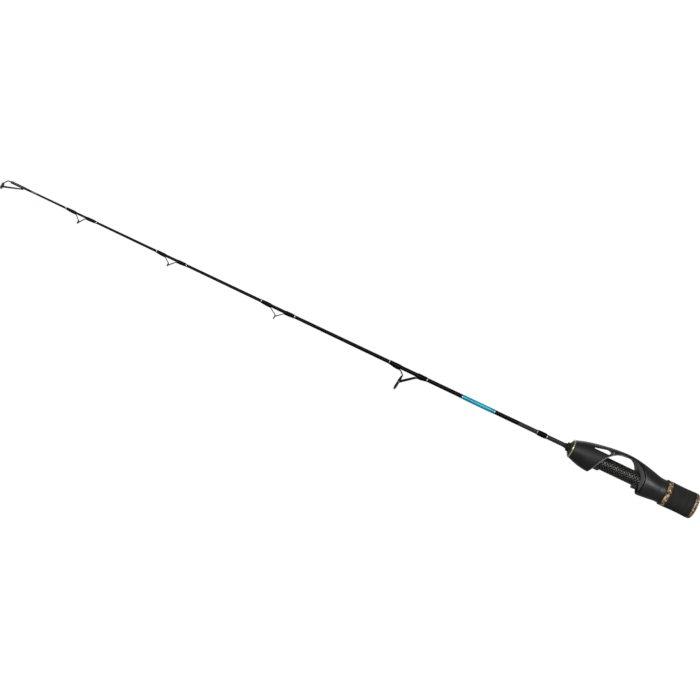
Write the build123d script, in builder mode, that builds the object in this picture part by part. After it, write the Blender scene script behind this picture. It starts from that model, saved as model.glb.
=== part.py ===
from build123d import *
import math
import os

# Ice fishing rod, spinning style, in millimetres.
# +X runs along the rod towards its tip, the origin is the centre of the butt end face, +Z is the
# palm side of the handle, and the line guides and the reel's seat are on the -Z side.

# ---- blank -------------------------------------------------------------------------------------
rod_length = 762.0
blank_butt_x = 16.0
blank_knee_x = 280.0
blank_tip_x = 753.6
blank_butt_r = 2.50
blank_knee_r = 2.15
blank_tip_r = 0.95

# ---- tip top -----------------------------------------------------------------------------------
tip_tube_rear_x = 739.8
tip_tube_front_x = 754.8
tip_tube_r = 1.38
tip_tube_chamfer = 0.5
tip_ring_x = 760.82
tip_ring_z = -7.1
tip_ring_r = 3.5
tip_ring_tilt = 3.0
tip_band_wall = 0.7
tip_band_width = 1.5
tip_band_edge_r = 0.2
tip_insert_wall = 0.8
tip_insert_width = 2.1
tip_insert_edge_r = 0.35
tip_wire_r = 0.58
# Bends of the wire from the tube's front to the ring, and of the two legs under the tube.
tip_front_knee = (757.6, -0.1)
tip_front_bend_r = 0.9
tip_leg_start_x = 740.6
tip_leg_knee_x = 741.5
tip_leg_start_y = 0.66
tip_leg_end_y = 3.0
tip_leg_drop = 0.9
tip_leg_bend_r = 3.0
tip_leg_seat = 0.2
tip_wrap_rear_x = 726.2
tip_wrap_end_height = 0.1
tip_wrap_height = 0.22
tip_wrap_shoulder = 3.0
tip_wrap_gap = 0.05

# ---- line guides, numbered from the tip ---------------------------------------------------------
# Sizes of the stamped frame and its insert, for the small guides and for the large one near the handle.
small_guide = dict(
    band_wall=0.55,
    band_width=0.85,
    insert_wall=0.5,
    insert_width=1.15,
    edge_r=0.2,
    gauge=0.95,
    rear_gauge=0.85,
    leg_width=1.1,
    foot_width=1.2,
    foot_gauge=0.5,
    knee_x=2.0,
)
large_guide = dict(
    band_wall=1.0,
    band_width=1.9,
    insert_wall=1.15,
    insert_width=2.6,
    edge_r=0.45,
    gauge=1.25,
    rear_gauge=2.4,
    leg_width=2.4,
    foot_width=2.2,
    foot_gauge=1.1,
    knee_x=-0.8,
)
# Each guide: ring's place and size, the two feet's ends, how far round the ring from its top the
# rear legs are joined and how far its lower edge leans forward, in degrees, and the frame's sizes.
guides = [
    dict(
        x=677.1,
        z=-7.3,
        r=2.1,
        front=(682.4, 693.5),
        rear=(660.7, 671.4),
        spread=112,
        tilt=0.0,
        sizes=small_guide,
    ),
    dict(
        x=578.1,
        z=-7.25,
        r=2.1,
        front=(583.7, 593.7),
        rear=(561.3, 571.2),
        spread=112,
        tilt=0.0,
        sizes=small_guide,
    ),
    dict(
        x=459.8,
        z=-8.8,
        r=2.5,
        front=(467.5, 478.0),
        rear=(441.8, 452.2),
        spread=70,
        tilt=0.0,
        sizes=small_guide,
    ),
    dict(
        x=320.6,
        z=-15.0,
        r=7.6,
        front=(324.2, 336.6),
        rear=(295.5, 306.4),
        spread=80,
        tilt=6.0,
        sizes=large_guide,
    ),
]
knee_lift = 1.1
line_clear = 0.3
bar_edge_share = 0.35
front_bend_share = 0.4
rear_bend_share = 0.8
rear_leg_share = 0.8
foot_sink = 0.3
foot_end_gauge = 0.3
foot_clear = 0.9
wrap_over = 0.35
wrap_cover = 0.3
wrap_end_height = 0.12
wrap_shoulder = 1.2
trim_width = 0.6
trim_height = 0.3

# ---- bands on the blank ------------------------------------------------------------------------
band_rear_x = 221.1
band_front_x = 256.0
band_height = 0.22
band_trim_height = 0.3
butt_wrap_rear_x = 163.5
butt_wrap_front_x = 173.5
butt_wrap_r = 2.9
butt_wrap_end_r = 2.7
butt_wrap_shoulder = 0.6
butt_trim_r = 2.75

# ---- front of the handle -----------------------------------------------------------------------
check_front_x = 144.1
check_step_x = 141.2
check_rear_x = 138.9
nose_rear_x = 136.4
seat_front_x = 135.2
check_front_r = 4.25
check_step_r = 4.4
check_rear_r = 4.55
check_chamfer = 0.6
nose_front_r = 5.2
nose_rear_r = 8.9
nose_spigot_r = 8.2
trim_ring_r = 9.75

# ---- core tube and what it carries ---------------------------------------------------------------
core_r = 7.45
core_bore_r = 5.9
core_rear_x = 13.2
thread_r = 8.20
thread_front_x = 40.0
arbor_length = 18.0

# ---- reel seat shell -----------------------------------------------------------------------------
# Sections of the moulded shell: place, height above the axis, depth below it and half width.
shell_sections = [
    (135.2, 9.5, 9.4, 9.45),
    (129.0, 11.6, 11.5, 11.4),
    (121.0, 13.8, 13.4, 12.9),
    (113.0, 15.5, 14.3, 13.4),
    (101.0, 17.5, 14.6, 12.7),
    (89.0, 18.8, 14.7, 11.8),
    (79.0, 19.15, 14.7, 11.4),
    (67.0, 17.9, 14.5, 12.0),
    (59.0, 16.4, 14.15, 12.7),
    (51.0, 14.5, 13.5, 12.9),
    (43.4, 12.6, 12.6, 12.5),
    (40.4, 12.2, 12.2, 12.2),
]
neck_r = 12.2
neck_rear_x = 32.3
neck_bore_r = 10.8
chamber_front_x = 45.0
# The arch under the bridge: front edge, crown and rear edge as seen from the side. The rear edge
# runs back and outwards, so its outline at the middle differs from the one at the flank.
arch_foot_depth = 17.0
arch_front = [(112.6, -14.6), (108.0, -5.2), (103.9, 2.4), (92.7, 12.7)]
arch_crown = (81.3, 15.5)
arch_rear_middle = [(73.3, 12.6), (70.2, 7.5), (66.5, -3.0), (58.6, -14.4)]
arch_rear_flank = [(64.0, 14.2), (59.8, 7.5), (58.2, -3.0), (57.0, -14.4)]
arch_flank_y = 14.5
arch_base_run = 1.0
slot_corners = [(116.5, 9.5), (116.5, 10.8), (101.0, 14.4), (96.8, 13.6), (97.1, 11.8), (100.2, 9.5)]
slot_corner_r = 0.5
front_pocket = (106.0, 118.5)
front_pocket_half_width = 6.8
front_pocket_r = 12.9
rear_mouth = (55.0, 72.0)
rear_mouth_r = 13.0
rear_channel_x = 46.5
rear_channel_r = 12.4
rear_channel_half_width = 7.2
pad_half_width = 4.6
pad_edge_r = 0.8
front_pad = (103.2, 108.6)
front_pad_depth = 8.9
rear_pad = (61.8, 66.3)
rear_pad_depth = 9.85

# ---- sliding hood --------------------------------------------------------------------------------
hood_front_x = 56.0
hood_block_x = (46.9, 49.5)
hood_half_width = 7.0
hood_wall = 0.8
hood_r = 12.2
hood_pocket_r = 11.5
hood_lift = 0.3
hood_ring_x = (30.1, 31.5)
hood_ring_r = 10.6
hood_ring_bore_r = 9.05
hood_arm_inner_r = 9.75
hood_arm_half_width = 6.0

# ---- grip barrel, which is the lock nut ------------------------------------------------------------
barrel_front_x = 35.4
eva_front_x = 28.9
eva_rear_x = 5.0
cork_r = 13.45
cork_edge_r = 2.6
eva_front_r = 13.3
eva_middle_r = 13.15
eva_rear_r = 13.45
barrel_bore_r = 12.4
barrel_shoulder_x = 26.0
sleeve_outer_r = 11.9
sleeve_bore_r = 10.0
nut_rear_x = 15.0
nut_front_x = 33.0
nut_nose_r = 9.6
nut_groove_r = 8.95
nut_groove_gap = 0.1
thread_gap = 0.06
plug_face_r = 5.0
plug_flange_r = 9.9
plug_flange_x = 6.6

os.makedirs("parts", exist_ok=True)


def save(piece, name):
    """Name a finished piece and write its STEP file."""
    piece.part.label = name
    export_step(piece.part, f"parts/{name}.step")


def blank_r(x):
    """Outer radius of the tapered blank at x."""
    if x < blank_knee_x:
        share = (x - blank_butt_x) / (blank_knee_x - blank_butt_x)
        return blank_butt_r + share * (blank_knee_r - blank_butt_r)
    share = (x - blank_knee_x) / (blank_tip_x - blank_knee_x)
    return blank_knee_r + share * (blank_tip_r - blank_knee_r)


def axis_plane(z=0.0):
    """The upright plane through the rod, with its origin on the line at height z."""
    return Plane(origin=(0, 0, z), x_dir=(1, 0, 0), z_dir=(0, -1, 0))


def turned(outline, z=0.0):
    """A solid turned about the line along X at height z, from corners given as (x, radius)."""
    with BuildPart() as piece:
        with BuildSketch(axis_plane(z)):
            with BuildLine():
                Polyline(*outline, close=True)
            make_face()
        revolve(axis=Axis((0, 0, z), (1, 0, 0)))
    return piece


def tube(rear_x, front_x, outer_r, bore_r):
    """A plain tube about the rod's axis."""
    outline = [(rear_x, bore_r), (rear_x, outer_r), (front_x, outer_r), (front_x, bore_r)]
    return turned(outline)


def on_blank(outline, z=0.0, around=()):
    """A turned piece that sits on the blank, cut away where the blank and other pieces are."""
    form = turned(outline, z)
    with BuildPart() as piece:
        add(form.part)
        add(blank.part, mode=Mode.SUBTRACT)
        for other in around:
            add(other.part, mode=Mode.SUBTRACT)
    return piece


# ---- blank ---------------------------------------------------------------------------------------
blank = turned(
    [
        (blank_butt_x, 0),
        (blank_butt_x, blank_butt_r),
        (blank_knee_x, blank_knee_r),
        (blank_tip_x, blank_tip_r),
        (blank_tip_x, 0),
    ]
)
save(blank, "blank")


# ---- line guides ---------------------------------------------------------------------------------
def eyelet(centre_x, centre_z, outer_r, inner_r, thickness, edge_r, tilt=0.0):
    """A flat ring around the line's path, with rounded edges, leaning its lower edge forward."""
    plane = Plane(origin=(centre_x, 0, centre_z), x_dir=(1, 0, 0), z_dir=(0, -1, 0))
    plane = plane.rotated((0, -tilt, 0))
    middle_r = (outer_r + inner_r) / 2
    with BuildPart() as piece:
        with BuildSketch(plane):
            with Locations((0, middle_r)):
                RectangleRounded(thickness, outer_r - inner_r, edge_r)
        revolve(axis=Axis(plane.origin, plane.x_dir))
    return piece


def bar(points, width, gauge, bend_r):
    """A flat strip bent along points, width across the strip and gauge through it."""
    with BuildPart() as piece:
        with BuildLine() as path:
            if len(points) > 2:
                FilletPolyline(*points, radius=bend_r)
            else:
                Line(*points)
        start = Plane(origin=path.line @ 0, x_dir=(0, 1, 0), z_dir=path.line % 0)
        with BuildSketch(start):
            RectangleRounded(width, gauge, gauge * bar_edge_share)
        sweep()
    return piece


def foot(leg_x, end_x, width, gauge):
    """A guide's foot: a strip under the blank that thins towards its end."""
    leg_z = -blank_r(leg_x)
    end_z = -blank_r(end_x)
    with BuildPart() as piece:
        with BuildSketch(Plane.XZ):
            with BuildLine():
                Polyline(
                    (leg_x, leg_z + foot_sink),
                    (leg_x, leg_z - gauge),
                    (end_x, end_z - foot_end_gauge),
                    (end_x, end_z + foot_sink),
                    close=True,
                )
            make_face()
        extrude(amount=width / 2, both=True)
        add(blank.part, mode=Mode.SUBTRACT)
    return piece


def guide_legs(ring_top, flank, front_leg_x, rear_leg_x, sizes):
    """A guide's front leg, and its two rear legs that spread to the ring's flanks."""
    top_x, top_z = ring_top
    gauge = sizes["gauge"]
    rear_gauge = sizes["rear_gauge"]
    front_z = -blank_r(front_leg_x) - sizes["foot_gauge"] / 2
    rear_z = -blank_r(rear_leg_x) - sizes["foot_gauge"] / 2
    front_leg = bar(
        [
            (front_leg_x, 0, front_z),
            (front_leg_x - foot_clear - gauge, 0, front_z - gauge / 2),
            (top_x + sizes["knee_x"], 0, top_z + knee_lift),
            (top_x, 0, top_z - sizes["band_wall"] / 4),
        ],
        sizes["leg_width"],
        gauge,
        gauge * front_bend_share,
    )
    start_y = sizes["foot_width"] / 4
    rear_leg = bar(
        [
            (rear_leg_x, start_y, rear_z),
            (rear_leg_x + foot_clear + gauge, start_y, rear_z - rear_gauge / 2),
            flank,
        ],
        sizes["leg_width"] * rear_leg_share,
        rear_gauge,
        rear_gauge * rear_bend_share,
    )
    return front_leg.part, rear_leg.part, mirror(rear_leg.part, about=Plane.XZ)


def make_guide(number, x, z, r, front, rear, spread, tilt, sizes):
    """One double-footed guide with its ceramic ring and its two thread wraps."""
    insert_r = r - sizes["band_wall"]
    bore_r = insert_r - sizes["insert_wall"]
    insert = eyelet(x, z, insert_r, bore_r, sizes["insert_width"], sizes["edge_r"], tilt)
    save(insert, f"guide_{number}_ring")

    band = eyelet(x, z, r, insert_r, sizes["band_width"], sizes["edge_r"] / 2, tilt)
    turn = math.radians(spread)
    lean = math.radians(tilt)
    band_middle_r = r - sizes["band_wall"] / 2
    flank_rise = band_middle_r * math.cos(turn)
    ring_top = (x - band_middle_r * math.sin(lean), z + band_middle_r * math.cos(lean))
    flank = (
        x - flank_rise * math.sin(lean) - sizes["band_width"] / 4,
        band_middle_r * math.sin(turn),
        z + flank_rise * math.cos(lean),
    )
    front_leg_x = front[0] + foot_clear
    rear_leg_x = rear[1] - foot_clear
    legs = guide_legs(ring_top, flank, front_leg_x, rear_leg_x, sizes)
    front_foot = foot(front_leg_x, front[1] - foot_clear, sizes["foot_width"], sizes["foot_gauge"])
    rear_foot = foot(rear_leg_x, rear[0] + foot_clear, sizes["foot_width"], sizes["foot_gauge"])
    with BuildPart() as frame:
        for piece in (band.part, *legs, front_foot.part, rear_foot.part):
            add(piece)
        add(blank.part, mode=Mode.SUBTRACT)
        add(insert.part, mode=Mode.SUBTRACT)
        # the legs stay clear of the line's path through the ring
        with BuildSketch(Plane(origin=(x, 0, z), z_dir=(math.cos(lean), 0, math.sin(lean)))):
            Circle(bore_r + line_clear)
        extrude(amount=r, both=True, mode=Mode.SUBTRACT)
    save(frame, f"guide_{number}_frame")

    # the wraps sit lower than the blank's centre, so that they cover the feet below it
    wrap_under = sizes["foot_gauge"] + wrap_cover
    rise = (wrap_under + wrap_over) / 2
    drop = (wrap_under - wrap_over) / 2
    for side, (low, high) in (("front", front), ("rear", rear)):
        wrap = on_blank(
            [
                (low, 0),
                (low, blank_r(low) + drop + wrap_end_height),
                (low + wrap_shoulder, blank_r(low) + rise),
                (high - wrap_shoulder, blank_r(high) + rise),
                (high, blank_r(high) + drop + wrap_end_height),
                (high, 0),
            ],
            -drop,
            [frame],
        )
        save(wrap, f"guide_{number}_{side}_wrap")


for number, guide in enumerate(guides, start=1):
    make_guide(number, **guide)


# ---- tip top -------------------------------------------------------------------------------------
tip_tube = on_blank(
    [
        (tip_tube_rear_x, 0),
        (tip_tube_rear_x, tip_tube_r),
        (tip_tube_front_x - tip_tube_chamfer, tip_tube_r),
        (tip_tube_front_x, tip_tube_r - tip_tube_chamfer),
        (tip_tube_front_x, 0),
    ]
)
save(tip_tube, "tip_tube")

tip_insert_r = tip_ring_r - tip_band_wall
tip_ring = eyelet(
    tip_ring_x,
    tip_ring_z,
    tip_insert_r,
    tip_insert_r - tip_insert_wall,
    tip_insert_width,
    tip_insert_edge_r,
    tip_ring_tilt,
)
save(tip_ring, "tip_ring")

tip_band = eyelet(
    tip_ring_x,
    tip_ring_z,
    tip_ring_r,
    tip_insert_r,
    tip_band_width,
    tip_band_edge_r,
    tip_ring_tilt,
)


def wire(points, radius, bend_r):
    """A round wire bent along points."""
    with BuildPart() as piece:
        with BuildLine() as path:
            if len(points) > 2:
                FilletPolyline(*points, radius=bend_r)
            else:
                Line(*points)
        with BuildSketch(Plane(origin=path.line @ 0, z_dir=path.line % 0)):
            Circle(radius)
        sweep()
    return piece


tip_band_middle_r = tip_ring_r - tip_band_wall / 2
tilt = math.radians(tip_ring_tilt)
tip_ring_top = (
    tip_ring_x - tip_band_middle_r * math.sin(tilt),
    0,
    tip_ring_z + tip_band_middle_r * math.cos(tilt),
)
tip_wire_start_x = tip_tube_front_x - 3 * tip_tube_chamfer
tip_front_wire = wire(
    [(tip_wire_start_x, 0, 0), (tip_front_knee[0], 0, tip_front_knee[1]), tip_ring_top],
    tip_wire_r,
    tip_front_bend_r,
)
tip_wire_z = tip_leg_seat - tip_tube_r - tip_wire_r
tip_leg = wire(
    [
        (tip_leg_start_x, tip_leg_start_y, tip_wire_z),
        (tip_leg_knee_x, tip_leg_start_y, tip_wire_z),
        (tip_ring_x, tip_leg_end_y, tip_ring_z - tip_leg_drop),
    ],
    tip_wire_r,
    tip_leg_bend_r,
)
with BuildPart() as tip_frame:
    add(tip_band.part)
    add(tip_front_wire.part)
    add(tip_leg.part)
    add(mirror(tip_leg.part, about=Plane.XZ))
    add(tip_ring.part, mode=Mode.SUBTRACT)
    add(tip_tube.part, mode=Mode.SUBTRACT)
    add(blank.part, mode=Mode.SUBTRACT)
save(tip_frame, "tip_frame")

tip_wrap_r = blank_r(tip_wrap_rear_x)
tip_wrap = on_blank(
    [
        (tip_wrap_rear_x, 0),
        (tip_wrap_rear_x, tip_wrap_r + tip_wrap_end_height),
        (tip_wrap_rear_x + tip_wrap_shoulder, tip_wrap_r + tip_wrap_height),
        (tip_tube_rear_x - tip_wrap_gap, tip_tube_r),
        (tip_tube_rear_x - tip_wrap_gap, 0),
    ]
)
save(tip_wrap, "tip_wrap")

# ---- trims at the wraps' outer ends ----------------------------------------------------------------
trim_places = []
for guide in guides:
    trim_places.append(guide["front"][1])
    trim_places.append(guide["rear"][0] - trim_width)
with BuildPart() as wrap_trims:
    for place in trim_places:
        ring = on_blank(
            [
                (place, 0),
                (place, blank_r(place) + trim_height),
                (place + trim_width, blank_r(place) + trim_height),
                (place + trim_width, 0),
            ]
        )
        add(ring.part)
save(wrap_trims, "wrap_trims")

# ---- bands on the blank ----------------------------------------------------------------------------
colour_band = on_blank(
    [
        (band_rear_x, 0),
        (band_rear_x, blank_r(band_rear_x) + band_height),
        (band_front_x, blank_r(band_front_x) + band_height),
        (band_front_x, 0),
    ]
)
save(colour_band, "colour_band")

with BuildPart() as band_trims:
    for place in (band_rear_x - trim_width, band_front_x):
        ring = on_blank(
            [
                (place, 0),
                (place, blank_r(place) + band_trim_height),
                (place + trim_width, blank_r(place) + band_trim_height),
                (place + trim_width, 0),
            ]
        )
        add(ring.part)
save(band_trims, "band_trims")

butt_wrap = on_blank(
    [
        (butt_wrap_rear_x, 0),
        (butt_wrap_rear_x, butt_wrap_end_r),
        (butt_wrap_rear_x + butt_wrap_shoulder, butt_wrap_r),
        (butt_wrap_front_x - butt_wrap_shoulder, butt_wrap_r),
        (butt_wrap_front_x, butt_wrap_end_r),
        (butt_wrap_front_x, 0),
    ]
)
save(butt_wrap, "butt_wrap")

with BuildPart() as butt_wrap_trims:
    for place in (butt_wrap_rear_x - trim_width, butt_wrap_front_x):
        ring = on_blank(
            [
                (place, 0),
                (place, butt_trim_r),
                (place + trim_width, butt_trim_r),
                (place + trim_width, 0),
            ]
        )
        add(ring.part)
save(butt_wrap_trims, "butt_wrap_trims")

# ---- front of the handle ---------------------------------------------------------------------------
winding_check = on_blank(
    [
        (check_rear_x, 0),
        (check_rear_x, check_rear_r),
        (check_step_x, check_rear_r),
        (check_step_x, check_step_r),
        (check_front_x - check_chamfer, check_front_r),
        (check_front_x, check_front_r - check_chamfer),
        (check_front_x, 0),
    ]
)
save(winding_check, "winding_check")

nose_cone = on_blank(
    [
        (seat_front_x, 0),
        (seat_front_x, nose_spigot_r),
        (nose_rear_x, nose_spigot_r),
        (nose_rear_x, nose_rear_r),
        (check_rear_x, nose_front_r),
        (check_rear_x, 0),
    ]
)
save(nose_cone, "nose_cone")

trim_ring = tube(seat_front_x, nose_rear_x, trim_ring_r, nose_spigot_r)
save(trim_ring, "trim_ring")

# ---- core tube, arbors and thread sleeve -------------------------------------------------------------
core_front_x = seat_front_x
core_tube = tube(core_rear_x, core_front_x, core_r, core_bore_r)
save(core_tube, "core_tube")

arbor_starts = {
    "rear_arbor": blank_butt_x,
    "middle_arbor": (blank_butt_x + core_front_x - arbor_length) / 2,
    "front_arbor": core_front_x - arbor_length,
}
for name, start in arbor_starts.items():
    end = start + arbor_length
    arbor = on_blank([(start, 0), (start, core_bore_r), (end, core_bore_r), (end, 0)])
    save(arbor, name)


# The sleeve's screw thread has a 3 mm lead; its outside is modelled as a plain running fit.
thread_sleeve = tube(core_rear_x, thread_front_x, thread_r, core_r)
save(thread_sleeve, "thread_sleeve")

# ---- reel seat shell ---------------------------------------------------------------------------------


def arch_outline(rear_edge):
    """The arch under the bridge as a closed side view: front edge, crown, rear edge and base."""
    front_foot = arch_front[0]
    rear_foot = rear_edge[-1]
    with BuildLine() as outline:
        Spline(*arch_front, arch_crown)
        Spline(arch_crown, *rear_edge)
        Polyline(
            rear_foot,
            (rear_foot[0], -arch_foot_depth),
            (front_foot[0] + arch_base_run, -arch_foot_depth),
            front_foot,
        )
    return outline


def lower_sector(half_width, radius):
    """Draw the part of a disc that lies below the axis and within half_width of it."""
    Circle(radius)
    with Locations((0, -radius)):
        Rectangle(2 * half_width, 2 * radius, mode=Mode.INTERSECT)


with BuildPart() as arch_cut:
    for side_y, rear_edge in ((-arch_flank_y, arch_rear_flank), (0, arch_rear_middle)):
        with BuildSketch(Plane.XZ.offset(-side_y)):
            add(arch_outline(rear_edge).line)
            make_face()
    loft(ruled=True)
    mirror(about=Plane.XZ)

with BuildPart() as seat_shell:
    for place, top, bottom, half_width in shell_sections:
        middle_z = (top - bottom) / 2
        section = Plane(origin=(place, 0, middle_z), x_dir=(0, 1, 0), z_dir=(1, 0, 0))
        with BuildSketch(section):
            Ellipse(half_width, (top + bottom) / 2)
    loft()
    # neck that the grip barrel slides over
    with Locations(Location((neck_rear_x, 0, 0), (0, 90, 0))):
        Cylinder(neck_r, shell_sections[-1][0] - neck_rear_x, align=(Align.CENTER, Align.CENTER, Align.MIN))
    add(arch_cut.part, mode=Mode.SUBTRACT)
    # bore for the core tube and the chamber for the hood's ring
    with Locations(Location((0, 0, 0), (0, 90, 0))):
        Cylinder(core_r, rod_length, mode=Mode.SUBTRACT)
    with Locations(Location((0, 0, 0), (0, 90, 0))):
        Cylinder(
            neck_bore_r,
            chamber_front_x,
            align=(Align.CENTER, Align.CENTER, Align.MIN),
            mode=Mode.SUBTRACT,
        )
    # slot through both flanks in front of the arch
    with BuildSketch(Plane.XZ):
        with BuildLine():
            FilletPolyline(*slot_corners, radius=slot_corner_r, close=True)
        make_face()
    extrude(amount=arch_flank_y, both=True, mode=Mode.SUBTRACT)
    # pocket for the reel foot's front end, the channel for the sliding hood and the one for its arm
    channels = (
        (front_pocket[0], front_pocket[1], front_pocket_half_width, front_pocket_r),
        (rear_mouth[0], rear_mouth[1], rear_channel_half_width, rear_mouth_r),
        (rear_channel_x, rear_mouth[0], rear_channel_half_width, rear_channel_r),
        (chamber_front_x - hood_lift, rear_channel_x, hood_arm_half_width + hood_lift, neck_bore_r),
    )
    for low, high, half_width, radius in channels:
        with BuildSketch(Plane.YZ.offset(low)):
            lower_sector(half_width, radius)
        extrude(amount=high - low, mode=Mode.SUBTRACT)
save(seat_shell, "seat_shell")


# ---- foot pads ---------------------------------------------------------------------------------------
def foot_pad(span, depth):
    """A pad under the core tube that the reel foot rests on."""
    with BuildPart() as piece:
        with BuildSketch(Plane.YZ.offset(span[0])):
            with Locations((0, -depth / 2)):
                RectangleRounded(2 * pad_half_width, depth, pad_edge_r)
            Circle(core_r, mode=Mode.SUBTRACT)
        extrude(amount=span[1] - span[0])
        fillet(piece.faces().sort_by(Axis.Z)[0].edges().filter_by(Axis.Y), pad_edge_r)
    return piece


front_foot_pad = foot_pad(front_pad, front_pad_depth)
save(front_foot_pad, "front_foot_pad")
rear_foot_pad = foot_pad(rear_pad, rear_pad_depth)
save(rear_foot_pad, "rear_foot_pad")

# ---- sliding hood ------------------------------------------------------------------------------------
with BuildPart() as sliding_hood:
    # scoop that holds the reel foot's rear end
    with BuildSketch(Plane.YZ.offset(hood_block_x[0])):
        lower_sector(hood_half_width, hood_r)
        Circle(core_r + hood_lift, mode=Mode.SUBTRACT)
    extrude(amount=hood_front_x - hood_block_x[0])
    with BuildSketch(Plane.YZ.offset(hood_block_x[1])):
        lower_sector(hood_half_width - hood_wall, hood_pocket_r)
    extrude(amount=hood_front_x - hood_block_x[1], mode=Mode.SUBTRACT)
    # ring that the lock nut carries, and the arm to it
    with BuildSketch(Plane.YZ.offset(hood_ring_x[0])):
        Circle(hood_ring_r)
        Circle(hood_ring_bore_r, mode=Mode.SUBTRACT)
    extrude(amount=hood_ring_x[1] - hood_ring_x[0])
    with BuildSketch(Plane.YZ.offset(hood_ring_x[1])):
        lower_sector(hood_arm_half_width, hood_ring_r)
        Circle(hood_arm_inner_r, mode=Mode.SUBTRACT)
    extrude(amount=hood_block_x[0] - hood_ring_x[1])
save(sliding_hood, "sliding_hood")

# ---- grip barrel ---------------------------------------------------------------------------------------
front_cork_ring = tube(eva_front_x, barrel_front_x, cork_r, barrel_bore_r)
save(front_cork_ring, "front_cork_ring")

with BuildPart() as eva_grip:
    with BuildSketch(Plane.XZ):
        with BuildLine():
            Polyline(
                (eva_front_x, eva_front_r),
                (eva_front_x, barrel_bore_r),
                (barrel_shoulder_x, barrel_bore_r),
                (barrel_shoulder_x, sleeve_outer_r),
                (eva_rear_x, sleeve_outer_r),
                (eva_rear_x, eva_rear_r),
            )
            ThreePointArc(
                (eva_rear_x, eva_rear_r),
                ((eva_rear_x + eva_front_x) / 2, eva_middle_r),
                (eva_front_x, eva_front_r),
            )
        make_face()
    revolve(axis=Axis.X)
save(eva_grip, "eva_grip")

with BuildPart() as rear_cork_ring:
    with BuildSketch(Plane.XZ):
        with BuildLine():
            Line((0, plug_face_r), (0, cork_r - cork_edge_r))
            RadiusArc((0, cork_r - cork_edge_r), (cork_edge_r, cork_r), cork_edge_r)
            Polyline(
                (cork_edge_r, cork_r),
                (eva_rear_x, cork_r),
                (eva_rear_x, plug_face_r),
                (0, plug_face_r),
            )
        make_face()
    revolve(axis=Axis.X)
save(rear_cork_ring, "rear_cork_ring")

barrel_sleeve = tube(eva_rear_x, barrel_shoulder_x, sleeve_outer_r, sleeve_bore_r)
save(barrel_sleeve, "barrel_sleeve")

butt_plug = turned(
    [
        (0, 0),
        (0, plug_face_r),
        (eva_rear_x, plug_face_r),
        (eva_rear_x, plug_flange_r),
        (plug_flange_x, plug_flange_r),
        (plug_flange_x, 0),
    ]
)
save(butt_plug, "butt_plug")

nut_bore_r = thread_r + thread_gap
groove_rear_x = hood_ring_x[0] - nut_groove_gap
groove_front_x = hood_ring_x[1] + nut_groove_gap
lock_nut = turned(
    [
        (nut_rear_x, nut_bore_r),
        (nut_rear_x, sleeve_bore_r),
        (barrel_shoulder_x, sleeve_bore_r),
        (barrel_shoulder_x, nut_nose_r),
        (groove_rear_x, nut_nose_r),
        (groove_rear_x, nut_groove_r),
        (groove_front_x, nut_groove_r),
        (groove_front_x, nut_nose_r),
        (nut_front_x, nut_nose_r),
        (nut_front_x, nut_bore_r),
    ]
)
save(lock_nut, "lock_nut")
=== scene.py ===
import math

import bmesh
import bpy
import numpy as np
from mathutils import Matrix, Vector, kdtree, noise


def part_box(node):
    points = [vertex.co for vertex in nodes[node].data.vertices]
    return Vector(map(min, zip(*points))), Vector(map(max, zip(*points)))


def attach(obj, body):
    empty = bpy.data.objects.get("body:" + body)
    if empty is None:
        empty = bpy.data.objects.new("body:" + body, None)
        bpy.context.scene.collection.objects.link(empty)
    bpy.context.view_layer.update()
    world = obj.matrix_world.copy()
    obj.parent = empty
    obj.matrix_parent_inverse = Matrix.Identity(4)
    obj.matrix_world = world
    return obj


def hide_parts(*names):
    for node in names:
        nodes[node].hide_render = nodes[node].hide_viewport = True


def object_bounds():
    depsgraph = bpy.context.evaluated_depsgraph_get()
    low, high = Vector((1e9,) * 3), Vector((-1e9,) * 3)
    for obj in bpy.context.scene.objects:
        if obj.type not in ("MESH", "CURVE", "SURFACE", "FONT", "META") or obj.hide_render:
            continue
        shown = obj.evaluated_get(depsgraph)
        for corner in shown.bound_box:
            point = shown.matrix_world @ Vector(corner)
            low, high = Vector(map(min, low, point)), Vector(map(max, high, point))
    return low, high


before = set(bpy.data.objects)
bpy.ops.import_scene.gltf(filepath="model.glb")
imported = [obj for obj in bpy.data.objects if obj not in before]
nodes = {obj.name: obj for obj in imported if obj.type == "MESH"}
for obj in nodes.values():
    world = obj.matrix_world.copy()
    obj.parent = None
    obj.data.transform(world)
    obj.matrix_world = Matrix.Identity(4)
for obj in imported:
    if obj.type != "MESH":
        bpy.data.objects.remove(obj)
cad_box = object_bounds()

MM = 0.001
TURN = 2 * math.pi
GUIDES = (1, 2, 3, 4)


# ---- reading the frame ---------------------------------------------------------------------------
def span(node):
    """Rear and front end of a CAD node along the rod."""
    low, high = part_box(node)
    return low.x, high.x


def top(node):
    """Height of a CAD node's top over the rod's axis, which is its radius where it is round."""
    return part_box(node)[1].z


def outer_radius(node):
    """A function that gives a turned node's outer radius at x."""
    points = np.array([v.co for v in nodes[node].data.vertices])
    places = np.round(points[:, 0], 5)
    radii = np.hypot(points[:, 1], points[:, 2])
    stations = np.unique(places)
    largest = [radii[places == x].max() for x in stations]
    return lambda x: float(np.interp(x, stations, largest))


blank_r = outer_radius("blank")


# ---- mesh building -------------------------------------------------------------------------------
def add_to_scene(name, data):
    """A new object that holds data, linked to the scene."""
    made = bpy.data.objects.new(name, data)
    bpy.context.scene.collection.objects.link(made)
    return made


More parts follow.
